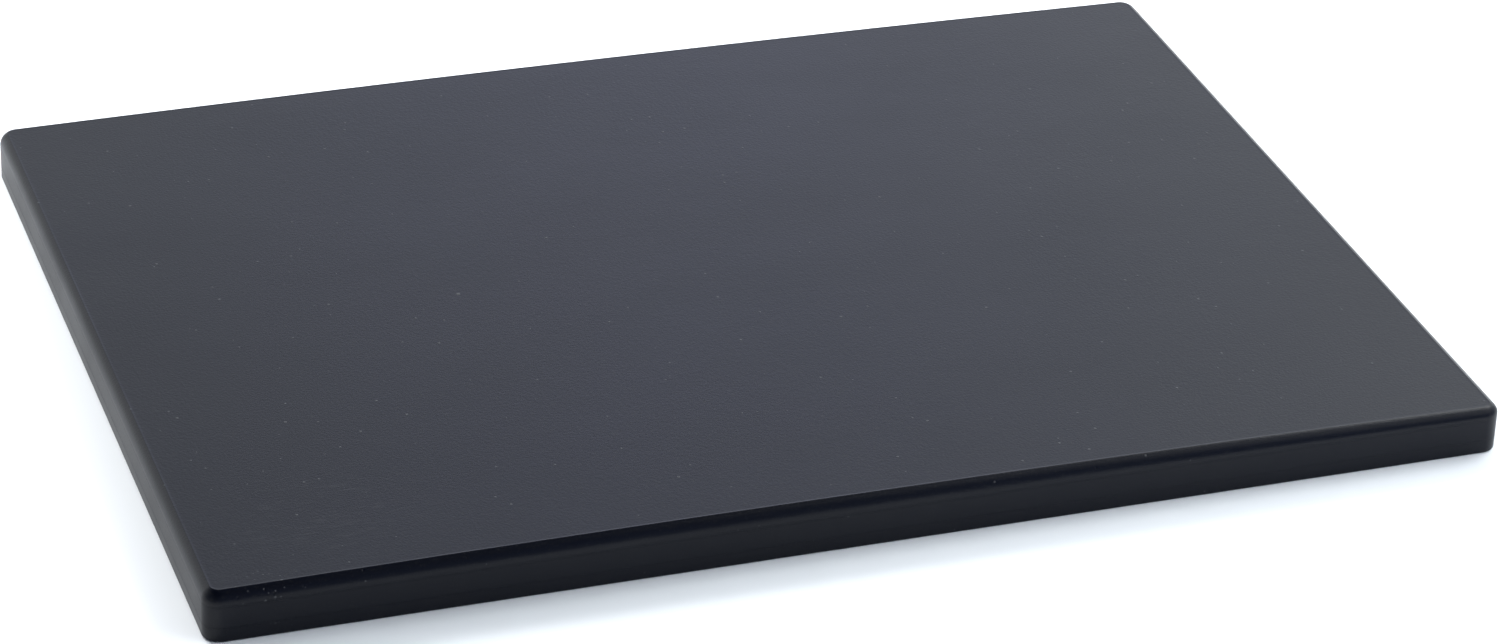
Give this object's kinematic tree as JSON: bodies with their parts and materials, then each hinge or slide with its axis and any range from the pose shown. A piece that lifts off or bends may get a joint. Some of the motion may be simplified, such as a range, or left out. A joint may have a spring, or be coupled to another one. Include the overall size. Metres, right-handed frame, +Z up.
{
  "type": "self healing mat",
  "caption": "Thick rigid self-healing board for cutting and punching leather: soft face plies pressed onto a stiff core, with rounded corners and a rounded top rim.",
  "frame": {"origin": "centre of the underside, on the bench", "axes": "+X along the length, +Y along the width towards the back, +Z up out of the working face"},
  "size_m": [0.38, 0.28, 0.015],
  "materials": {
    "face_ply": "satin",
    "cushion_ply": "matte",
    "core": "satin"
  },
  "bodies": {
    "root": {"bottom_face_ply": "face_ply", "lower_cushion_ply": "cushion_ply", "rigid_core": "core", "upper_cushion_ply": "cushion_ply", "top_face_ply": "face_ply"}
  },
  "joints": []
}
